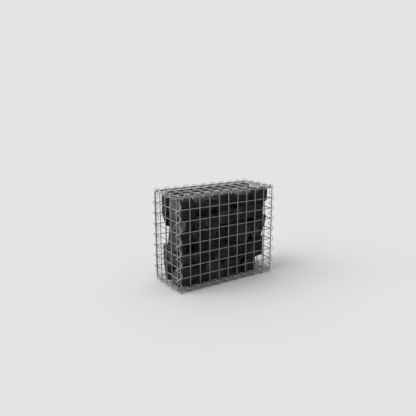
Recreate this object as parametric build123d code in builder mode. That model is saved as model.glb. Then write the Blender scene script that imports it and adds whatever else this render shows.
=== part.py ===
from build123d import *

import math
import os
import random
from typing import NamedTuple

# A wire gabion: six welded mesh panels, laced along every edge by wire spirals and filled with
# broken stone. Millimetres. The origin is on the ground under the middle of the basket, +X runs
# along its length and -Y is the front.

# Welded mesh: square cells of round wire, drawn as bars of few sides
CELL = 50.0
CELLS_LONG = 10
CELLS_DEEP = 4
CELLS_HIGH = 8
MESH_WIRE = 4.0
WIRE_SIDES = 6
WIRE_OVERHANG = 2.5

# Lacing: a panel lies this far outside the edge wires of its neighbours,
# and a spiral with one turn to a cell holds both edge wires
PANEL_SETBACK = 6.8
SPIRAL_WIRE = 3.0
SPIRAL_STEPS = 8
SPIRAL_SEAT_GAP = 0.3
SPIRAL_END_GAP = 0.9
LONG_SPIRAL_RUNOUT = 9.0

# Stone fill
STONE_TO_WIRE = 0.3
STONE_TO_STONE = 0.4
STONE_MARGIN = 10.0
LEAST_CUT = 0.05
STONE_SEED = 41
CENTRE_JITTER = 0.08
BED_FLATNESS = 2.2
FACE_LEAN = 0.10

# Stones are broken a little on their outer faces and much at their inner ends. A chip lies at
# this share of the stone's reach.
OUTER_CORNER_CHIP = (0.74, 0.92)
OUTER_EDGE_CHIP = (0.82, 0.96)
INNER_CORNER_CHIP = (0.30, 0.54)
INNER_EDGE_CHIP = (0.42, 0.68)
EDGE_CHIP_SHARE = 0.55
CHIP_TILT = (0.6, 1.4)

# Plan slopes of the two places where the fill stops short of a corner
FRONT_SLACK_SLOPE = 0.85
BACK_SLACK_SLOPE = 0.52


class Course(NamedTuple):
    """One course of stones, with the lengths of its stones from left to right."""

    name: str
    # Height of its top above the fill's foot, at the left and the right end
    head: tuple
    front_depth: float
    front_lengths: tuple
    back_lengths: tuple
    # How far the fill stops short of the front right and the back left corner, at foot and head
    front_slack: tuple
    back_slack: tuple


COURSES = (
    Course("bottom", (105, 64), 100, (63, 75, 105, 95, 168), (110, 100, 120, 95, 81), (93, 90), (85, 56)),
    Course("second", (155, 163), 112, (80, 98, 110, 82, 136), (95, 120, 90, 105, 96), (38, 46), (56, 56)),
    Course("third", (250, 267), 94, (78, 85, 105, 122, 116), (150, 110, 106, 140), (62, 12), (100, 128)),
    Course("fourth", (300, 349), 108, (81, 65, 67, 97, 58, 138), (135, 95, 110, 166), (50, 46), (106, 53)),
    Course("top", (406, 406), 98, (81, 127, 93, 87, 118), (100, 95, 115, 90, 106), (26, 20), (53, 53)),
)


class Hollow(NamedTuple):
    """A round hollow that the stones about it leave behind the mesh."""

    # Its place along that side, from the middle, and how far it lies in
    along: float
    depth: float
    height: float
    radius: float


FRONT_HOLLOWS = (
    Hollow(-175, 15, 180, 20),
    Hollow(-73, 11, 124, 16),
    Hollow(-112, 6, 317, 10),
    Hollow(-80, 6, 317, 10),
    Hollow(127, 9, 128, 16),
    Hollow(25, 6, 332, 10),
    Hollow(75, 6, 339, 9),
    Hollow(100, 6, 25, 11),
)
LEFT_END_HOLLOWS = (
    Hollow(-52, 10, 291, 12),
    Hollow(-25, 10, 78, 15),
)

# Sizes that follow
BASKET_LENGTH = CELLS_LONG * CELL
BASKET_DEPTH = CELLS_DEEP * CELL
BASKET_HEIGHT = CELLS_HIGH * CELL
LAYER_OFFSET = MESH_WIRE / 2

# The spirals are square bars as heavy as their round wire. At each step a bar bends, and its
# section is stretched across the bend.
SPIRAL_BAR = SPIRAL_WIRE * math.sqrt(math.pi) / 2
BAR_REACH = SPIRAL_BAR / math.sqrt(2)
LACED_WIRE_REACH = math.hypot(PANEL_SETBACK / 2, PANEL_SETBACK / 2 + LAYER_OFFSET) + MESH_WIRE / 2
STEP_SAG = math.cos(math.pi / SPIRAL_STEPS)
SPIRAL_RADIUS = (LACED_WIRE_REACH + SPIRAL_SEAT_GAP + BAR_REACH) / STEP_SAG
STEP_RISE = CELL / SPIRAL_STEPS
STEP_RUN = 2 * SPIRAL_RADIUS * math.sin(math.pi / SPIRAL_STEPS)
STEP_LENGTH = math.hypot(STEP_RUN, STEP_RISE)
BEND_COSINE = (STEP_RUN**2 * math.cos(2 * math.pi / SPIRAL_STEPS) + STEP_RISE**2) / STEP_LENGTH**2
BEND_STRETCH = math.sqrt(2 / (1 + BEND_COSINE))
SPIRAL_REACH = SPIRAL_RADIUS + BAR_REACH * BEND_STRETCH

# The twelve lacing axes lie on the edges of one box
AXIS_X = BASKET_LENGTH / 2 + PANEL_SETBACK / 2
AXIS_Y = BASKET_DEPTH / 2 + PANEL_SETBACK / 2
AXIS_LOW = SPIRAL_REACH
AXIS_HIGH = AXIS_LOW + BASKET_HEIGHT + PANEL_SETBACK
BOTTOM_WIRE = AXIS_LOW + PANEL_SETBACK / 2

# The panels' middles and the faces of the fill lie outside and inside those axes
PANEL_OUT = PANEL_SETBACK / 2
FILL_OUT = PANEL_OUT - LAYER_OFFSET - MESH_WIRE / 2 - STONE_TO_WIRE
FILL_X = AXIS_X + FILL_OUT
FILL_Y = AXIS_Y + FILL_OUT
FILL_LOW = AXIS_LOW - FILL_OUT
FILL_HIGH = AXIS_HIGH + FILL_OUT

# The courses stretch to fill the basket, and the hollows with them
LENGTH_STRETCH = 2 * FILL_X / sum(COURSES[0].front_lengths)
HEIGHT_STRETCH = (FILL_HIGH - FILL_LOW) / max(COURSES[-1].head)
SPIRAL_CLEARANCE = SPIRAL_REACH + STONE_TO_WIRE

os.makedirs("parts", exist_ok=True)


def save(part, name):
    """Labels a finished piece and writes it under its name."""
    part.label = name
    export_step(part, f"parts/{name}.step")


# Welded mesh panels


def mesh_panel(middle, cells_across, cells_up):
    """A panel on a plane that faces outwards. Wires along the plane's Y lie outside the others."""
    across = cells_across * CELL
    up = cells_up * CELL
    flat_outwards = 90 - 180 / WIRE_SIDES
    foot = middle.origin - middle.y_dir * (up / 2 + WIRE_OVERHANG) + middle.z_dir * LAYER_OFFSET
    side = middle.origin - middle.x_dir * (across / 2 + WIRE_OVERHANG) - middle.z_dir * LAYER_OFFSET
    with BuildPart() as panel:
        with BuildSketch(Plane(foot, x_dir=middle.x_dir, z_dir=middle.y_dir)):
            with GridLocations(CELL, CELL, cells_across + 1, 1):
                RegularPolygon(MESH_WIRE / 2, WIRE_SIDES, major_radius=False, rotation=flat_outwards)
        extrude(amount=up + 2 * WIRE_OVERHANG)
        with BuildSketch(Plane(side, x_dir=middle.y_dir, z_dir=middle.x_dir)):
            with GridLocations(CELL, CELL, cells_up + 1, 1):
                RegularPolygon(MESH_WIRE / 2, WIRE_SIDES, major_radius=False, rotation=flat_outwards)
        extrude(amount=across + 2 * WIRE_OVERHANG)
    return panel.part


MID_HEIGHT = (AXIS_LOW + AXIS_HIGH) / 2
FRONT = Plane((0, -AXIS_Y - PANEL_OUT, MID_HEIGHT), x_dir=(1, 0, 0), z_dir=(0, -1, 0))
BACK = Plane((0, AXIS_Y + PANEL_OUT, MID_HEIGHT), x_dir=(-1, 0, 0), z_dir=(0, 1, 0))
LEFT_END = Plane((-AXIS_X - PANEL_OUT, 0, MID_HEIGHT), x_dir=(0, -1, 0), z_dir=(-1, 0, 0))
RIGHT_END = Plane((AXIS_X + PANEL_OUT, 0, MID_HEIGHT), x_dir=(0, 1, 0), z_dir=(1, 0, 0))
BASE = Plane((0, 0, AXIS_LOW - PANEL_OUT), x_dir=(1, 0, 0), z_dir=(0, 0, -1))
LID = Plane((0, 0, AXIS_HIGH + PANEL_OUT), x_dir=(1, 0, 0), z_dir=(0, 0, 1))

save(mesh_panel(FRONT, CELLS_LONG, CELLS_HIGH), "front_mesh_panel")
save(mesh_panel(BACK, CELLS_LONG, CELLS_HIGH), "back_mesh_panel")
save(mesh_panel(LEFT_END, CELLS_DEEP, CELLS_HIGH), "left_end_mesh_panel")
save(mesh_panel(RIGHT_END, CELLS_DEEP, CELLS_HIGH), "right_end_mesh_panel")
save(mesh_panel(BASE, CELLS_LONG, CELLS_DEEP), "base_mesh_panel")
save(mesh_panel(LID, CELLS_LONG, CELLS_DEEP), "lid_mesh_panel")

# Lacing spirals


def lacing_spiral(node, along, outwards, first, last):
    """A right-handed spiral round two edge wires, farthest out where each crossing wire ends.

    It runs from first to last, measured along the edge from its first crossing wire.
    """
    first_step = math.ceil(first / STEP_RISE - 1e-6)
    last_step = math.floor(last / STEP_RISE + 1e-6)
    edge = Plane(node, x_dir=outwards, z_dir=along)
    bends = []
    for step in range(first_step, last_step + 1):
        turn = 2 * math.pi * step / SPIRAL_STEPS
        out = edge.x_dir * math.cos(turn) + edge.y_dir * math.sin(turn)
        bends.append(edge.origin + out * SPIRAL_RADIUS + edge.z_dir * (step * STEP_RISE))
    with BuildPart() as spiral:
        with BuildLine():
            Polyline(*bends)
        with BuildSketch(Plane(bends[0], x_dir=edge.z_dir, z_dir=bends[1] - bends[0])):
            Rectangle(SPIRAL_BAR, SPIRAL_BAR, rotation=45)
        sweep(transition=Transition.RIGHT)
    return spiral.part


# A long spiral runs out past the corners, and the others stop short of it and of each other
SHORT_START = SPIRAL_REACH + SPIRAL_END_GAP + SPIRAL_WIRE / 2 - PANEL_SETBACK / 2
LONG_START = -PANEL_SETBACK / 2 - LONG_SPIRAL_RUNOUT

for side_y, side_name in ((-1, "front"), (1, "back")):
    for end_x, end_name in ((-1, "left"), (1, "right")):
        foot = (end_x * AXIS_X, side_y * AXIS_Y, BOTTOM_WIRE)
        out = (end_x, side_y, 0)
        spiral = lacing_spiral(foot, (0, 0, 1), out, SHORT_START, BASKET_HEIGHT - SHORT_START)
        save(spiral, f"{side_name}_{end_name}_corner_spiral")

for level, up, level_name in ((AXIS_LOW, -1, "base"), (AXIS_HIGH, 1, "lid")):
    for side_y, side_name in ((-1, "front"), (1, "back")):
        start = (-BASKET_LENGTH / 2, side_y * AXIS_Y, level)
        out = (0, side_y, up)
        spiral = lacing_spiral(start, (1, 0, 0), out, LONG_START, BASKET_LENGTH - LONG_START)
        save(spiral, f"{level_name}_{side_name}_spiral")
    for end_x, end_name in ((-1, "left"), (1, "right")):
        start = (end_x * AXIS_X, -BASKET_DEPTH / 2, level)
        out = (end_x, 0, up)
        spiral = lacing_spiral(start, (0, 1, 0), out, SHORT_START, BASKET_DEPTH - SHORT_START)
        save(spiral, f"{level_name}_{end_name}_spiral")

# Stone fill


class Block(NamedTuple):
    """The space set aside for one stone."""

    centre: Vector
    half: Vector
    # Along each axis, -1 or 1 where that side of the block lies against the mesh
    mesh_sides: tuple


def height_at(head, x):
    """The height of a sloping bed at a place along the basket."""
    share = (x + FILL_X) / (2 * FILL_X)
    return FILL_LOW + (head[0] + (head[1] - head[0]) * share) * HEIGHT_STRETCH


def row_blocks(lengths, bed, head, front, back, mesh_y, mesh_z, chance):
    """Sets out one row of blocks from left to right, stretched to fill the basket."""
    stretch = 2 * FILL_X / sum(lengths)
    left = -FILL_X
    blocks = []
    for index, length in enumerate(lengths):
        x = left + length * stretch / 2
        low = height_at(bed, x)
        high = height_at(head, x)
        half = Vector(length * stretch / 2, (back - front) / 2, (high - low) / 2)
        shift = [chance.uniform(-CENTRE_JITTER, CENTRE_JITTER) for axis in range(3)]
        centre = Vector(x + half.X * shift[0], (front + back) / 2 + half.Y * shift[1], (low + high) / 2)
        centre += Vector(0, 0, half.Z * shift[2])
        mesh_x = -1 if index == 0 else 1 if index == len(lengths) - 1 else 0
        blocks.append(Block(centre, half, (mesh_x, mesh_y, mesh_z)))
        left += length * stretch
    return blocks


def reach(block, direction):
    """How far a block's own box reaches from its centre along a direction."""
    half = block.half
    return half.X * abs(direction.X) + half.Y * abs(direction.Y) + half.Z * abs(direction.Z)


def fill_planes():
    """The faces of the fill, each facing out: against the mesh, and clear of the spirals."""
    planes = []
    middle = Vector(0, 0, MID_HEIGHT)
    size = (FILL_X, FILL_Y, FILL_HIGH - MID_HEIGHT)
    axis_at = (AXIS_X, AXIS_Y, AXIS_HIGH - MID_HEIGHT)
    unit = (Vector(1, 0, 0), Vector(0, 1, 0), Vector(0, 0, 1))
    for axis in range(3):
        for sign in (-1, 1):
            planes.append(Plane(middle + unit[axis] * (sign * size[axis]), z_dir=unit[axis] * sign))
    for first, second in ((0, 1), (0, 2), (1, 2)):
        for first_sign in (-1, 1):
            for second_sign in (-1, 1):
                out = (unit[first] * first_sign + unit[second] * second_sign).normalized()
                first_axis = unit[first] * (first_sign * axis_at[first])
                second_axis = unit[second] * (second_sign * axis_at[second])
                edge = middle + first_axis + second_axis
                planes.append(Plane(edge - out * SPIRAL_CLEARANCE, z_dir=out))
    return planes


def slack_planes(course, bed):
    """The sloping ends of a course, at the front right and the back left corner."""
    foot, head = course.front_slack
    front_foot = Vector(FILL_X - foot, -FILL_Y, height_at(bed, FILL_X))
    front_head = Vector(FILL_X - head, -FILL_Y, height_at(course.head, FILL_X))
    front_out = (front_head - front_foot).cross(Vector(FRONT_SLACK_SLOPE, 1, 0)) * -1
    foot, head = course.back_slack
    back_foot = Vector(-FILL_X, FILL_Y - foot, height_at(bed, -FILL_X))
    back_head = Vector(-FILL_X, FILL_Y - head, height_at(course.head, -FILL_X))
    back_out = (back_head - back_foot).cross(Vector(BACK_SLACK_SLOPE, 1, 0))
    return [Plane(front_foot, z_dir=front_out), Plane(back_foot, z_dir=back_out)]


def hollows():
    """The hollows' centres and radii, in from the front and the left end of the fill."""
    places = []
    for hollow in FRONT_HOLLOWS:
        height = FILL_LOW + hollow.height * HEIGHT_STRETCH
        centre = Vector(hollow.along * LENGTH_STRETCH, hollow.depth - FILL_Y, height)
        places.append((centre, hollow.radius))
    for hollow in LEFT_END_HOLLOWS:
        height = FILL_LOW + hollow.height * HEIGHT_STRETCH
        centre = Vector(hollow.depth - FILL_X, hollow.along, height)
        places.append((centre, hollow.radius))
    return places


def joint_plane(block, neighbour):
    """The joint between two blocks, from the side of the first. Beds lie flatter than joints stand."""
    apart = neighbour.centre - block.centre
    out = Vector(apart.X, apart.Y, apart.Z * BED_FLATNESS).normalized()
    share = reach(block, out) / (reach(block, out) + reach(neighbour, out))
    return Plane(block.centre + apart * share - out * (STONE_TO_STONE / 2), z_dir=out)


def joint_planes(block, blocks):
    """The joints between a block and each block near it."""
    planes = []
    for neighbour in blocks:
        apart = neighbour.centre - block.centre
        room = block.half + neighbour.half + Vector(1, 1, 1) * (2 * STONE_MARGIN)
        near = abs(apart.X) < room.X and abs(apart.Y) < room.Y and abs(apart.Z) < room.Z
        if neighbour is not block and near:
            planes.append(joint_plane(block, neighbour))
    return planes


def hollow_planes(block):
    """Flats that keep a stone out of the hollows beside it."""
    planes = []
    for centre, radius in hollows():
        apart = centre - block.centre
        out = apart.normalized()
        if apart.length < reach(block, out) + radius + STONE_MARGIN:
            planes.append(Plane(centre - out * radius, z_dir=out))
    return planes


def face_planes(block, chance):
    """Slightly leaning faces on the sides that lie against the mesh."""
    planes = []
    for axis, side in enumerate(block.mesh_sides):
        if side:
            lean = [chance.uniform(-FACE_LEAN, FACE_LEAN) for other in range(3)]
            lean[axis] = side
            out = Vector(*lean).normalized()
            planes.append(Plane(block.centre + out * reach(block, out), z_dir=out))
    return planes


def chip_planes(block, chance):
    """Flats where the corners, and some edges, of a stone are broken off."""
    planes = []
    half = block.half
    for x in (-1, 0, 1):
        for y in (-1, 0, 1):
            for z in (-1, 0, 1):
                edges_met = abs(x) + abs(y) + abs(z)
                if edges_met < 2:
                    continue
                if edges_met == 2 and chance.random() > EDGE_CHIP_SHARE:
                    continue
                tilt = [chance.uniform(*CHIP_TILT) for axis in range(3)]
                out = Vector(x * tilt[0] / half.X, y * tilt[1] / half.Y, z * tilt[2] / half.Z)
                out = out.normalized()
                outer = any(side and way in (0, side) for side, way in zip(block.mesh_sides, (x, y, z)))
                if edges_met == 3:
                    depth = chance.uniform(*(OUTER_CORNER_CHIP if outer else INNER_CORNER_CHIP))
                else:
                    depth = chance.uniform(*(OUTER_EDGE_CHIP if outer else INNER_EDGE_CHIP))
                planes.append(Plane(block.centre + out * (reach(block, out) * depth), z_dir=out))
    return planes


def broken_stone(block, planes):
    """A block cut back to each plane that crosses it, the nearest first."""
    nearest_first = sorted(planes, key=lambda plane: (plane.origin - block.centre).dot(plane.z_dir))
    with BuildPart() as stone:
        with Locations(block.centre):
            Box(*[2 * (size + STONE_MARGIN) for size in block.half])
        corners = [corner.center() for corner in stone.vertices()]
        for plane in nearest_first:
            if max((corner - plane.origin).dot(plane.z_dir) for corner in corners) > LEAST_CUT:
                split(bisect_by=plane, keep=Keep.BOTTOM)
                corners = [corner.center() for corner in stone.vertices()]
    return stone.part


chance = random.Random(STONE_SEED)
mesh_faces = fill_planes()
rows = {}
end_planes = {}
bed = (0, 0)
for course in COURSES:
    row_joint = -FILL_Y + course.front_depth
    mesh_z = -1 if course is COURSES[0] else 1 if course is COURSES[-1] else 0
    front_name = f"{course.name}_course_front_stones"
    back_name = f"{course.name}_course_back_stones"
    rows[front_name] = row_blocks(
        course.front_lengths, bed, course.head, -FILL_Y, row_joint, -1, mesh_z, chance
    )
    rows[back_name] = row_blocks(
        course.back_lengths, bed, course.head, row_joint, FILL_Y, 1, mesh_z, chance
    )
    end_planes[front_name] = end_planes[back_name] = slack_planes(course, bed)
    bed = course.head

all_blocks = [block for row in rows.values() for block in row]

for name, row in rows.items():
    stones = []
    for block in row:
        planes = mesh_faces + end_planes[name] + joint_planes(block, all_blocks) + hollow_planes(block)
        planes += face_planes(block, chance) + chip_planes(block, chance)
        stones.append(broken_stone(block, planes))
    with BuildPart() as fill_row:
        add(stones)
    save(fill_row.part, name)
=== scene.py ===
import math
import random

import bmesh
import bpy
from mathutils import Matrix, Vector
from mathutils.bvhtree import BVHTree


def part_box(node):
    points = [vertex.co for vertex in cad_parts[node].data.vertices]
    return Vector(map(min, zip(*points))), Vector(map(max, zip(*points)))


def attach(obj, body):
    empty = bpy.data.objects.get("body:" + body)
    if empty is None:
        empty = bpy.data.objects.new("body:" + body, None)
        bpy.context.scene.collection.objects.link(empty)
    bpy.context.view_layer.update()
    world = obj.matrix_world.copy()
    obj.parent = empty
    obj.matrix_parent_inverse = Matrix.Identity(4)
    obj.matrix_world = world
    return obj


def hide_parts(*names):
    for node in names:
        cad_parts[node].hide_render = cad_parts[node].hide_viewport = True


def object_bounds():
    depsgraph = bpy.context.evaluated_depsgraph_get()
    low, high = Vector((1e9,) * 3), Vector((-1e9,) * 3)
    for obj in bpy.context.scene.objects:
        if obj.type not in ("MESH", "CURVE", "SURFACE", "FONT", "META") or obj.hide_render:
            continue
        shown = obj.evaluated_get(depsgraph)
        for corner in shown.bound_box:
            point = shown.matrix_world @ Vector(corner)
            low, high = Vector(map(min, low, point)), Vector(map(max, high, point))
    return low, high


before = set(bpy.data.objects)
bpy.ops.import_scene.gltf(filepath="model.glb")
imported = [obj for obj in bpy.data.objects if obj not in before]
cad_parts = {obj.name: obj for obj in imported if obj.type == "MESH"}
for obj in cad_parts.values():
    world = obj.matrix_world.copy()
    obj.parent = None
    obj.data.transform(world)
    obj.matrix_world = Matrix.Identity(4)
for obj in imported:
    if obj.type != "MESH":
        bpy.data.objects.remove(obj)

cad_low, cad_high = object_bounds()

# Real sizes of the basket, in metres
CELL = 0.050
MESH_WIRE = 0.004
WIRE_OVERHANG = 0.0025
SPIRAL_WIRE = 0.003

# Finish of the mesh wires, which sink a little into each other at a flattened weld bead
WIRE_SIDES = 12
WIRE_CREASE = math.radians(50)
RIM_ANGLE = math.radians(60)
RIM_ROUNDING = MESH_WIRE * 0.12
WELD_SINK = 0.0003
WELD_HALF_WIDTH = MESH_WIRE * 0.62
WELD_HALF_HEIGHT = MESH_WIRE * 0.42

# Finish of the lacing spirals, with the steps of one turn and room for their tilted cut ends
SPIRAL_SIDES = 10
SPIRAL_STEPS = 28
SPIRAL_CREASE = math.radians(60)
SPIRAL_END_ROOM = SPIRAL_WIRE * 0.8

PANELS = (
    "front_mesh_panel",
    "back_mesh_panel",
    "left_end_mesh_panel",
    "right_end_mesh_panel",
    "base_mesh_panel",
    "lid_mesh_panel",
)
SPIRALS = tuple(sorted(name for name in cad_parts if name.endswith("_spiral")))
STONE_ROWS = tuple(sorted(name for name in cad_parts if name.endswith("_stones")))


# Helpers for pieces


def piece_from(bm, name, material, slot, *nodes):
    """Makes an object of a finished bmesh, which stands for its CAD nodes."""
    mesh = bpy.data.meshes.new(name)
    bm.to_mesh(mesh)
    bm.free()
    mesh.materials.append(material)
    piece = bpy.data.objects.new(name, mesh)
    bpy.context.scene.collection.objects.link(piece)
    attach(piece, "root")
    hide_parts(*nodes)
    return piece


def shade_smooth(bm, sharp_angle):
    """Smooth shading, with edges sharper than the angle kept crisp."""
    for face in bm.faces:
        face.smooth = True
    for edge in bm.edges:
        if len(edge.link_faces) == 2:
            edge.smooth = edge.calc_face_angle(0.0) < sharp_angle


def frame_of(centre, x_axis, z_axis):
    """A placement with its X and Z along the given directions."""
    z_axis = Vector(z_axis).normalized()
    x_axis = Vector(x_axis).normalized()
    y_axis = z_axis.cross(x_axis)
    turn = Matrix((x_axis, y_axis, z_axis)).transposed().to_4x4()
    return Matrix.Translation(centre) @ turn


# Helpers for materials


def add_node(tree, kind, **settings):
    """A shader node with its properties and its sockets' values set by name."""
    node = tree.nodes.new(kind)
    for key, value in settings.items():
        if key in node.inputs:
            node.inputs[key].default_value = value
        else:
            setattr(node, key, value)
    return node


def new_material(name):
    """A material with an empty tree but for its shader, and that shader."""
    material = bpy.data.materials.new(name)
    material.use_nodes = True
    tree = material.node_tree
    return material, tree, tree.nodes["Principled BSDF"]


def noise_on(tree, coordinates, scale, detail, roughness=0.5):
    """A noise texture on the given coordinates. Gives its value socket."""
    texture = tree.nodes.new("ShaderNodeTexNoise")
    texture.inputs["Scale"].default_value = scale
    texture.inputs["Detail"].default_value = detail
    texture.inputs["Roughness"].default_value = roughness
    tree.links.new(coordinates, texture.inputs["Vector"])
    return texture.outputs["Fac"]


def stretch(tree, value, low, high, new_low=0.0, new_high=1.0):
    """Maps a value's range onto another, clamped."""
    node = tree.nodes.new("ShaderNodeMapRange")
    tree.links.new(value, node.inputs["Value"])
    node.inputs["From Min"].default_value = low
    node.inputs["From Max"].default_value = high
    node.inputs["To Min"].default_value = new_low
    node.inputs["To Max"].default_value = new_high
    return node.outputs["Result"]


def mix_colours(tree, share, first, second):
    """Mixes two colours, each a socket or a value, by a socket."""
    node = tree.nodes.new("ShaderNodeMix")
    node.data_type = "RGBA"
    tree.links.new(share, node.inputs["Factor"])
    for colour, key in ((first, "A"), (second, "B")):
        socket = [s for s in node.inputs if s.name == key and s.type == "RGBA"][0]
        if isinstance(colour, bpy.types.NodeSocket):
            tree.links.new(colour, socket)
        else:
            socket.default_value = (*colour, 1.0)
    return [s for s in node.outputs if s.type == "RGBA"][0]


def multiply(tree, first, second):
    """The product of two values, each a socket or a number."""
    node = tree.nodes.new("ShaderNodeMath")
    node.operation = "MULTIPLY"
    for index, value in enumerate((first, second)):
        if isinstance(value, bpy.types.NodeSocket):
            tree.links.new(value, node.inputs[index])
        else:
            node.inputs[index].default_value = value
    return node.outputs[0]


def bump(tree, height, strength, distance, below=None):
    """A bump of the surface by a height socket, on top of another bump."""
    node = tree.nodes.new("ShaderNodeBump")
    node.inputs["Strength"].default_value = strength
    node.inputs["Distance"].default_value = distance
    tree.links.new(height, node.inputs["Height"])
    if below is not None:
        tree.links.new(below, node.inputs["Normal"])
    return node.outputs["Normal"]


# Materials

# The way that the stones' paler sides face: pale dust on their upward sides, and painted light on their
# sides towards the left light
DUST_AND_LIGHT_SIDE = (-0.85, -0.05, 0.52)

MESH_BRIGHT = (0.42, 0.43, 0.44)
MESH_DULL = (0.29, 0.30, 0.31)
# The spirals' zinc is painted paler than the same zinc of the mesh: painted light, standing in for the
# top light that their upper arcs catch
SPIRAL_PAINTED_LIT_BRIGHT = (0.66, 0.67, 0.68)
SPIRAL_PAINTED_LIT_DULL = (0.50, 0.51, 0.52)
SPECK_SHADE = 0.72
SPECK_SHARE = 0.35

DARKEST_BREAK = (0.005, 0.006, 0.008)
FRESH_BREAK = (0.036, 0.038, 0.043)
PALER_STONE = (0.105, 0.109, 0.117)
PALER_FACET = (0.115, 0.119, 0.127)
PALE_GRAIN = (0.12, 0.123, 0.128)
WORN_EDGE = (0.14, 0.143, 0.148)
# Pale colour for dust on the stones' upward sides and for painted light on their sides towards the left
# light
STONE_DUST_AND_PAINTED_LIGHT = (0.235, 0.239, 0.245)
GRAIN_SHARE = 0.35
WORN_SHARE = 0.35
ROCK_SHEEN = 0.07


def galvanised_wire(name, bright, dull, metallic):
    """Zinc-coated wire: cloudy grey, half dull, with a faintly rough coat."""
    material, tree, shader = new_material(name)
    place = tree.nodes.new("ShaderNodeTexCoord").outputs["Object"]
    cloud = stretch(tree, noise_on(tree, place, 45.0, 4.0), 0.35, 0.65)
    speck = stretch(tree, noise_on(tree, place, 900.0, 2.0), 0.40, 0.62)
    zinc = mix_colours(tree, cloud, dull, bright)
    darker = tuple(part * SPECK_SHADE for part in dull)
    zinc = mix_colours(tree, multiply(tree, speck, SPECK_SHARE), zinc, darker)
    tree.links.new(zinc, shader.inputs["Base Color"])
    rough = stretch(tree, noise_on(tree, place, 130.0, 3.0), 0.3, 0.7, 0.48, 0.68)
    tree.links.new(rough, shader.inputs["Roughness"])
    shader.inputs["Metallic"].default_value = metallic
    coat = bump(tree, noise_on(tree, place, 700.0, 3.0), strength=0.25, distance=0.0002)
    tree.links.new(coat, shader.inputs["Normal"])
    return material


def broken_rock():
    """Dark broken rock: near-black fresh breaks, paler with dust on its upward sides, with painted
    light on its sides towards the left light, and on worn edges.
    """
    material, tree, shader = new_material("broken_rock")
    place = tree.nodes.new("ShaderNodeTexCoord").outputs["Object"]
    tone = tree.nodes.new("ShaderNodeAttribute")
    tone.attribute_name = "stone_tone"
    facet = tree.nodes.new("ShaderNodeAttribute")
    facet.attribute_name = "facet_tone"
    geometry = tree.nodes.new("ShaderNodeNewGeometry")
    blotch = stretch(tree, noise_on(tree, place, 30.0, 10.0, 0.70), 0.38, 0.62)
    rock = mix_colours(tree, blotch, DARKEST_BREAK, FRESH_BREAK)
    rock = mix_colours(tree, tone.outputs["Fac"], rock, PALER_STONE)
    pale = stretch(tree, facet.outputs["Fac"], 0.50, 1.0, 0.0, 0.48)
    rock = mix_colours(tree, pale, rock, PALER_FACET)
    grain = stretch(tree, noise_on(tree, place, 260.0, 8.0, 0.75), 0.53, 0.66)
    rock = mix_colours(tree, multiply(tree, grain, GRAIN_SHARE), rock, PALE_GRAIN)
    worn = stretch(tree, geometry.outputs["Pointiness"], 0.51, 0.56)
    rock = mix_colours(tree, multiply(tree, worn, WORN_SHARE), rock, WORN_EDGE)
    # Paler towards the left and upwards: dust on the upward sides, and painted light on the sides that
    # face the left light, in patches and more on some facets than on others
    lit_side_dot = tree.nodes.new("ShaderNodeVectorMath")
    lit_side_dot.operation = "DOT_PRODUCT"
    tree.links.new(geometry.outputs["Normal"], lit_side_dot.inputs[0])
    lit_side_dot.inputs[1].default_value = DUST_AND_LIGHT_SIDE
    dust_and_lit_side = stretch(tree, lit_side_dot.outputs["Value"], 0.20, 0.90)
    patches = stretch(tree, noise_on(tree, place, 34.0, 10.0, 0.70), 0.36, 0.60, 0.12, 1.0)
    facet_share = stretch(tree, facet.outputs["Fac"], 0.0, 1.0, 0.28, 0.92)
    dust_and_painted_light = multiply(tree, multiply(tree, dust_and_lit_side, patches), facet_share)
    rock = mix_colours(tree, dust_and_painted_light, rock, STONE_DUST_AND_PAINTED_LIGHT)
    tree.links.new(rock, shader.inputs["Base Color"])
    rough = stretch(tree, noise_on(tree, place, 90.0, 4.0), 0.3, 0.7, 0.65, 0.92)
    tree.links.new(rough, shader.inputs["Roughness"])
    shader.inputs["Specular IOR Level"].default_value = ROCK_SHEEN
    coarse = bump(tree, noise_on(tree, place, 95.0, 12.0, 0.75), strength=1.0, distance=0.0060)
    fine = noise_on(tree, place, 520.0, 6.0, 0.7)
    fine = bump(tree, fine, strength=1.0, distance=0.0014, below=coarse)
    tree.links.new(fine, shader.inputs["Normal"])
    return material


MESH_ZINC = galvanised_wire("galvanised_mesh_wire", MESH_BRIGHT, MESH_DULL, metallic=0.22)
SPIRAL_ZINC = galvanised_wire("galvanised_spiral_wire", SPIRAL_PAINTED_LIT_BRIGHT, SPIRAL_PAINTED_LIT_DULL, metallic=0.30)
ROCK = broken_rock()


# Welded mesh panels


def add_wire(bm, start, end, sides):
    """A straight round wire with closed, slightly rounded ends."""
    along = end - start
    side = along.orthogonal()
    place = frame_of((start + end) / 2, side, along)
    made = bmesh.ops.create_cone(
        bm, cap_ends=True, segments=sides, radius1=MESH_WIRE / 2, radius2=MESH_WIRE / 2,
        depth=along.length, matrix=place,
    )
    ends = [e for e in {e for v in made["verts"] for e in v.link_edges} if len(e.link_faces) == 2]
    rims = [e for e in ends if e.calc_face_angle(0.0) > RIM_ANGLE]
    bmesh.ops.bevel(
        bm, geom=rims, offset=RIM_ROUNDING, segments=2, profile=0.5, affect="EDGES", material=-1
    )


def add_weld(bm, centre, across, outwards):
    """The flattened bead where two wires are welded."""
    place = frame_of(centre, across, outwards)
    size = Matrix.Diagonal((WELD_HALF_WIDTH, WELD_HALF_WIDTH, WELD_HALF_HEIGHT, 1.0))
    bmesh.ops.create_icosphere(bm, subdivisions=2, radius=1.0, matrix=place @ size)


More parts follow.
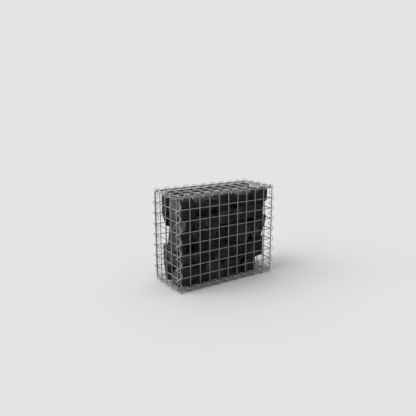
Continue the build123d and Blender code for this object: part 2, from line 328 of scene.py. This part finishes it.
def make_panel(name):
    """A panel of round wires in the place of its CAD node, short wires outside."""
    low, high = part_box(name)
    middle, size = (low + high) / 2, high - low
    thin = min(range(3), key=lambda axis: size[axis])
    level, upright = [axis for axis in range(3) if axis != thin]
    outwards = Vector((0, 0, 0))
    outwards[thin] = 1.0 if middle[thin] > ((cad_low + cad_high) / 2)[thin] else -1.0
    layer = outwards * (MESH_WIRE / 2 - WELD_SINK)
    bm = bmesh.new()
    for run, other, offset in ((upright, level, layer), (level, upright, -layer)):
        count = round((size[other] - 2 * WIRE_OVERHANG) / CELL) + 1
        for index in range(count):
            start, end = middle.copy(), middle.copy()
            start[other] = end[other] = middle[other] + (index - (count - 1) / 2) * CELL
            start[run], end[run] = low[run], high[run]
            add_wire(bm, start + offset, end + offset, WIRE_SIDES)
    across = Vector((0, 0, 0))
    across[level] = 1.0
    columns = round((size[level] - 2 * WIRE_OVERHANG) / CELL) + 1
    rows = round((size[upright] - 2 * WIRE_OVERHANG) / CELL) + 1
    for column in range(columns):
        for row in range(rows):
            centre = middle.copy()
            centre[level] += (column - (columns - 1) / 2) * CELL
            centre[upright] += (row - (rows - 1) / 2) * CELL
            add_weld(bm, centre, across, outwards)
    shade_smooth(bm, WIRE_CREASE)
    piece_from(bm, name.replace("_panel", "_wires"), MESH_ZINC, "mesh_wire", name)


# Lacing spirals


def make_spiral(name):
    """A right-handed round-wire spiral along the longest side of its CAD node."""
    low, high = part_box(name)
    middle, size = (low + high) / 2, high - low
    run = max(range(3), key=lambda axis: size[axis])
    sides = [axis for axis in range(3) if axis != run]
    basket_middle = (cad_low + cad_high) / 2
    outwards = Vector((0, 0, 0))
    for axis in sides:
        outwards[axis] = 1.0 if middle[axis] > basket_middle[axis] else -1.0
    outwards.normalize()
    along = Vector((0, 0, 0))
    along[run] = 1.0
    radius = min(size[axis] for axis in sides) / 2 - SPIRAL_WIRE / 2
    length = size[run] - SPIRAL_END_ROOM
    cells = round(basket_length(run) / CELL)
    crossing = middle[run] if cells % 2 == 0 else middle[run] + CELL / 2
    turns = length / CELL
    first_turn = -(crossing - (middle[run] - length / 2)) / CELL
    angle = first_turn * 2 * math.pi
    y_axis = along.cross(outwards)
    out = outwards * math.cos(angle) + y_axis * math.sin(angle)
    round_edge = y_axis * math.cos(angle) - outwards * math.sin(angle)
    axis_start = middle.copy()
    axis_start[run] = middle[run] - length / 2
    heading = round_edge * (2 * math.pi * radius) + along * CELL
    bm = bmesh.new()
    made = bmesh.ops.create_circle(
        bm, cap_ends=False, segments=SPIRAL_SIDES, radius=SPIRAL_WIRE / 2,
        matrix=frame_of(axis_start + out * radius, out, heading),
    )
    ring = list({e for v in made["verts"] for e in v.link_edges})
    steps = round(turns * SPIRAL_STEPS)
    bmesh.ops.spin(
        bm, geom=ring, cent=axis_start, axis=along, dvec=along * (length / steps),
        angle=turns * 2 * math.pi, steps=steps, use_merge=False, use_duplicate=False,
    )
    bmesh.ops.holes_fill(bm, edges=[e for e in bm.edges if e.is_boundary], sides=0)
    bmesh.ops.recalc_face_normals(bm, faces=bm.faces)
    shade_smooth(bm, SPIRAL_CREASE)
    piece_from(bm, name.replace("_spiral", "_lacing"), SPIRAL_ZINC, "spiral_wire", name)


def basket_length(axis):
    """The basket's length along an axis, between the outermost crossing wires."""
    lid_low, lid_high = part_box("lid_mesh_panel")
    front_low, front_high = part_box("front_mesh_panel")
    size = (lid_high.x - lid_low.x, lid_high.y - lid_low.y, front_high.z - front_low.z)
    return size[axis] - 2 * WIRE_OVERHANG


# Stone fill

# The broken surface of the seen faces runs this far into the joints, and the joints stay tight
# behind it
JOINT_MOUTH = 0.014

# What counts as one point, as one flat face and as clear of the face itself in the CAD's mesh
SAME_POINT = 1e-5
FLAT_ANGLE = math.radians(0.5)
CLEAR_OF_FACE = 0.0001
PLACE_DIGITS = 6

# How often a stone is broken, and how deep in metres
CORNER_BREAKS = 8
CORNER_BREAK_DEPTH = (0.0020, 0.0055)
EDGE_BREAKS = 14
EDGE_BREAK_DEPTH = (0.0020, 0.0070)
JOINT_BREAK_DEPTH = (0.0008, 0.0024)
DEEPEST_BREAK = 0.0080
# Open upper sides slope more, down towards the mesh
SLOPING_BREAK = 0.0180
FACES_UP = 0.35
BREAK_TILT = 0.45
JOINT_TILT = 0.16
LEAST_EDGE = 0.012

# How fine the stones' triangles are, and how crisp their edges
SEEN_FACE = 0.0030
HIDDEN_FACE = 0.016
FACE_GROWTH = 0.6
CRISP_ANGLE = math.radians(13)
EDGE_WEAR = 0.12

# Relief of the broken surface, and the range of the stones' own tones
SCALLOP_SIZE = 0.026
SCALLOP_DEPTH = 0.0026
RIPPLE_SIZE = 0.007
RIPPLE_DEPTH = 0.0020
TONE_RANGE = (0.0, 0.18)


def islands(bm):
    """The separate solids of a mesh, as sets of vertices."""
    left = set(bm.verts)
    found = []
    while left:
        group = {left.pop()}
        reached = list(group)
        while reached:
            vert = reached.pop()
            for edge in vert.link_edges:
                other = edge.other_vert(vert)
                if other in left:
                    left.discard(other)
                    group.add(other)
                    reached.append(other)
        found.append(group)
    return sorted(found, key=lambda group: min(v.co.x for v in group))


def merged_node(name):
    """A bmesh of a CAD node with its doubled vertices merged."""
    bm = bmesh.new()
    bm.from_mesh(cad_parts[name].data)
    bmesh.ops.remove_doubles(bm, verts=bm.verts[:], dist=SAME_POINT)
    bm.verts.index_update()
    return bm


def whole_fill():
    """A search tree of all the stones."""
    joined = bmesh.new()
    for name in STONE_ROWS:
        joined.from_mesh(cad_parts[name].data)
    tree = BVHTree.FromBMesh(joined)
    joined.free()
    return tree


FILL = whole_fill()


def single_stone(source, group):
    """A bmesh of one stone of the row."""
    stone = source.copy()
    stone.verts.ensure_lookup_table()
    keep = {v.index for v in group}
    bmesh.ops.delete(stone, geom=[v for v in stone.verts if v.index not in keep], context="VERTS")
    bmesh.ops.dissolve_limit(
        stone, angle_limit=FLAT_ANGLE, verts=stone.verts[:], edges=stone.edges[:]
    )
    stone.normal_update()
    return stone


def is_seen(face):
    """Whether no stone lies before a face."""
    middle = face.calc_center_median()
    return FILL.ray_cast(middle + face.normal * CLEAR_OF_FACE, face.normal)[0] is None


def cut(stone, place, out):
    """Cuts off what lies beyond a plane, and closes the stone there."""
    bmesh.ops.bisect_plane(
        stone, geom=stone.verts[:] + stone.edges[:] + stone.faces[:],
        plane_co=place, plane_no=out, clear_outer=True,
    )
    bmesh.ops.holes_fill(stone, edges=[e for e in stone.edges if e.is_boundary], sides=0)
    stone.normal_update()


def any_way(chance):
    """A random direction."""
    return Vector((chance.gauss(0, 1), chance.gauss(0, 1), chance.gauss(0, 1))).normalized()


def any_part(parts, place, chance):
    """A random part of a mesh, chosen by the parts' places alone."""

    def rounded_place(part):
        return tuple(round(value, PLACE_DIGITS) for value in place(part))

    return chance.choice(sorted(parts, key=rounded_place))


def break_off(stone, part, place, normal, depths, chance):
    """Breaks a flat off a corner or edge, a thinner and less tilted one where a joint begins."""
    at_joint = not all(is_seen(face) for face in part.link_faces)
    tilt = JOINT_TILT if at_joint else BREAK_TILT
    out = (normal.normalized() + any_way(chance) * tilt).normalized()
    place = place - out * chance.uniform(*(JOINT_BREAK_DEPTH if at_joint else depths))
    deepest = max((vert.co - place).dot(out) for vert in stone.verts)
    allowed = SLOPING_BREAK if out.z > FACES_UP and not at_joint else DEEPEST_BREAK
    cut(stone, place + out * max(deepest - allowed, 0.0), out)


def break_corners(stone, chance):
    """Breaks flats off the seen corners of a stone."""
    for _ in range(CORNER_BREAKS):
        corners = {v for f in stone.faces if is_seen(f) for v in f.verts}
        if corners:
            corner = any_part(corners, lambda v: v.co, chance)
            break_off(stone, corner, corner.co.copy(), corner.normal, CORNER_BREAK_DEPTH, chance)


def break_edges(stone, chance):
    """Breaks uneven slivers off the seen edges of a stone."""
    for _ in range(EDGE_BREAKS):
        edges = {e for f in stone.faces if is_seen(f) for e in f.edges if e.calc_length() > LEAST_EDGE}
        if edges:
            edge = any_part(edges, lambda e: (e.verts[0].co + e.verts[1].co) / 2, chance)
            first, second = [face.normal for face in edge.link_faces]
            place = edge.verts[0].co.lerp(edge.verts[1].co, chance.random())
            break_off(stone, edge, place, first + second, EDGE_BREAK_DEPTH, chance)


def seen_surface(stone):
    """A search tree of the stone's seen faces, or of all its faces where none is."""
    seen = [f for f in stone.faces if is_seen(f)] or stone.faces[:]
    stone.verts.index_update()
    places = [v.co.copy() for v in stone.verts]
    return BVHTree.FromPolygons(places, [[v.index for v in f.verts] for f in seen])


def halve(edge):
    """Splits an edge between two triangles, and the triangles with it."""
    ends = set(edge.verts)
    middle = bmesh.utils.edge_split(edge, edge.verts[0], 0.5)[1]
    for face in list(middle.link_faces):
        opposite = [v for v in face.verts if v is not middle and v not in ends][0]
        bmesh.utils.face_split(face, middle, opposite)


def divide(stone, seen):
    """Halves the edges of a stone's triangles, the longest first, more finely near its seen faces."""

    def too_long(edge):
        length = edge.calc_length()
        if length < SEEN_FACE:
            return False
        away = seen.find_nearest((edge.verts[0].co + edge.verts[1].co) / 2)[3]
        return length > min(SEEN_FACE + max(away - JOINT_MOUTH, 0.0) * FACE_GROWTH, HIDDEN_FACE)

    bmesh.ops.triangulate(stone, faces=stone.faces[:])
    to_halve = [e for e in stone.edges if too_long(e)]
    while to_halve:
        for edge in sorted(to_halve, key=lambda e: -e.calc_length()):
            halve(edge)
        to_halve = [e for e in stone.edges if too_long(e)]


def finished_stone(source, group, chance):
    """One broken stone, finely divided where it is seen, and how far each vertex is from there."""
    stone = single_stone(source, group)
    break_corners(stone, chance)
    break_edges(stone, chance)
    for edge in stone.edges:
        edge.smooth = edge.calc_face_angle(0.0) < CRISP_ANGLE
    facet_layer = stone.faces.layers.float.new("facet_tone")
    for facet in stone.faces:
        facet[facet_layer] = chance.random()
    seen = seen_surface(stone)
    divide(stone, seen)
    away = [seen.find_nearest(v.co)[3] for v in stone.verts]
    bmesh.ops.smooth_vert(
        stone, verts=stone.verts[:], factor=EDGE_WEAR, use_axis_x=True, use_axis_y=True, use_axis_z=True
    )
    return stone, away


def sink_surface(piece, name, kind, size, depth, **settings):
    """Sinks the weathered surface of a piece by a texture, never outwards."""
    texture = bpy.data.textures.new(name, kind)
    texture.noise_scale = size
    for key, value in settings.items():
        setattr(texture, key, value)
    relief = piece.modifiers.new(name, "DISPLACE")
    relief.texture = texture
    relief.texture_coords = "LOCAL"
    relief.direction = "NORMAL"
    relief.mid_level = 1.0
    relief.strength = depth
    relief.vertex_group = "weathered"


def apply_modifiers(piece):
    """Makes a piece's mesh what its modifiers make of it, and takes them off."""
    graph = bpy.context.evaluated_depsgraph_get()
    mesh = bpy.data.meshes.new_from_object(piece.evaluated_get(graph))
    old = piece.data
    piece.modifiers.clear()
    piece.data = mesh
    bpy.data.meshes.remove(old)
    mesh.name = piece.name


def make_stone_row(name, first_seed):
    """A row of broken stones in the place of its CAD node."""
    source = merged_node(name)
    joined = bmesh.new()
    tones, away_from_seen = [], []
    for index, group in enumerate(islands(source)):
        chance = random.Random(first_seed + index)
        stone, away = finished_stone(source, group, chance)
        away_from_seen += away
        tones += [chance.uniform(*TONE_RANGE)] * len(away)
        mesh = bpy.data.meshes.new("stone_in_making")
        stone.to_mesh(mesh)
        stone.free()
        joined.from_mesh(mesh)
        bpy.data.meshes.remove(mesh)
    source.free()
    tone_layer = joined.verts.layers.float.new("stone_tone")
    weather_layer = joined.verts.layers.deform.verify()
    for vert, tone, away in zip(joined.verts, tones, away_from_seen):
        vert[tone_layer] = tone
        near = 1.0 - min(away / JOINT_MOUTH, 1.0)
        vert[weather_layer][0] = near * near * (3.0 - 2.0 * near)
    for face in joined.faces:
        face.smooth = True
    piece = piece_from(joined, name.replace("_stones", "_rocks"), ROCK, "broken_stone", name)
    piece.vertex_groups.new(name="weathered")
    sink_surface(
        piece, "scallops", "VORONOI", SCALLOP_SIZE, SCALLOP_DEPTH, distance_metric="DISTANCE_SQUARED"
    )
    sink_surface(piece, "ripples", "CLOUDS", RIPPLE_SIZE, RIPPLE_DEPTH, noise_depth=3)
    apply_modifiers(piece)


for panel_name in PANELS:
    make_panel(panel_name)
for spiral_name in SPIRALS:
    make_spiral(spiral_name)
for row_index, row_name in enumerate(STONE_ROWS):
    make_stone_row(row_name, 100 * (row_index + 1))


# Floor, light and camera


FLOOR_REACH = 60.0
FLOOR_SEEN = (0.80, 0.80, 0.80, 1.0)
FLOOR_BOUNCE = (0.28, 0.28, 0.28, 1.0)
BACKDROP = (0.765, 0.770, 0.777, 1.0)
SKY_LIGHT = (0.93, 0.96, 1.0, 1.0)
SKY_STRENGTH = 0.30


def seen_rays(tree):
    """1 for the camera's own rays and those that metal or glass pass on, else 0."""
    path = tree.nodes.new("ShaderNodeLightPath")
    total = path.outputs["Is Camera Ray"]
    for ray in ("Is Glossy Ray", "Is Transmission Ray"):
        larger = tree.nodes.new("ShaderNodeMath")
        larger.operation = "MAXIMUM"
        tree.links.new(total, larger.inputs[0])
        tree.links.new(path.outputs[ray], larger.inputs[1])
        total = larger.outputs[0]
    return total


def mix_by_ray(tree, lights, seen, out):
    """Joins what lights the object and what is seen, by the kind of ray."""
    mix = tree.nodes.new("ShaderNodeMixShader")
    tree.links.new(seen_rays(tree), mix.inputs["Fac"])
    tree.links.new(lights.outputs[0], mix.inputs[1])
    tree.links.new(seen.outputs[0], mix.inputs[2])
    tree.links.new(mix.outputs[0], out.inputs["Surface"])


def make_floor():
    """A plain pale floor that throws only a little light back up."""
    bm = bmesh.new()
    bmesh.ops.create_circle(bm, cap_ends=True, segments=96, radius=FLOOR_REACH)
    mesh = bpy.data.meshes.new("floor")
    bm.to_mesh(mesh)
    bm.free()
    material = bpy.data.materials.new("pale_floor")
    material.use_nodes = True
    tree = material.node_tree
    tree.nodes.clear()
    lights = tree.nodes.new("ShaderNodeBsdfDiffuse")
    lights.inputs["Color"].default_value = FLOOR_BOUNCE
    seen = tree.nodes.new("ShaderNodeBsdfDiffuse")
    seen.inputs["Color"].default_value = FLOOR_SEEN
    mix_by_ray(tree, lights, seen, tree.nodes.new("ShaderNodeOutputMaterial"))
    mesh.materials.append(material)
    floor = bpy.data.objects.new("floor", mesh)
    bpy.context.scene.collection.objects.link(floor)


def make_sky():
    """Even soft light from all round, and a pale view behind that the floor runs into."""
    world = bpy.data.worlds.new("soft_sky")
    bpy.context.scene.world = world
    world.use_nodes = True
    tree = world.node_tree
    tree.nodes.clear()
    lights = add_node(tree, "ShaderNodeBackground", Strength=SKY_STRENGTH)
    lights.inputs["Color"].default_value = SKY_LIGHT
    seen = add_node(tree, "ShaderNodeBackground", Strength=1.0)
    seen.inputs["Color"].default_value = BACKDROP
    mix_by_ray(tree, lights, seen, tree.nodes.new("ShaderNodeOutputWorld"))


def make_sun(name, towards, softness, strength):
    """A wide soft light that comes from the given direction."""
    data = bpy.data.lights.new(name, "SUN")
    data.angle = math.radians(softness)
    data.energy = strength
    lamp = bpy.data.objects.new(name, data)
    lamp.rotation_euler = (-Vector(towards)).to_track_quat("-Z", "Y").to_euler()
    bpy.context.scene.collection.objects.link(lamp)


# The camera stands left of the basket's front and looks slightly down
CAMERA_AZIMUTH = math.radians(-33.06)
CAMERA_ELEVATION = math.radians(12.459)
CAMERA_ROLL = math.radians(-0.141)
CAMERA_LENS = 37.28
CAMERA_PLACE = Vector((-1.0931, -1.6199, 0.7439))


def make_camera():
    """The camera, its height counted from the basket's bottom wire."""
    data = bpy.data.cameras.new("camera")
    data.sensor_width = 36.0
    data.lens = CAMERA_LENS
    camera = bpy.data.objects.new("camera", data)
    bottom_wire = Vector((0, 0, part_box("front_mesh_panel")[0].z + WIRE_OVERHANG))
    turn = Matrix.Rotation(CAMERA_AZIMUTH, 4, "Z")
    turn = turn @ Matrix.Rotation(math.pi / 2 - CAMERA_ELEVATION, 4, "X")
    turn = turn @ Matrix.Rotation(CAMERA_ROLL, 4, "Z")
    camera.matrix_world = Matrix.Translation(CAMERA_PLACE + bottom_wire) @ turn
    bpy.context.scene.collection.objects.link(camera)
    bpy.context.scene.camera = camera


make_floor()
make_sky()
make_sun("left_light", towards=(-0.75, 0.15, 0.60), softness=60, strength=1.6)
make_sun("top_light", towards=(0.0, 0.25, 0.97), softness=90, strength=1.2)
make_camera()
bpy.context.scene.view_settings.view_transform = "Standard"
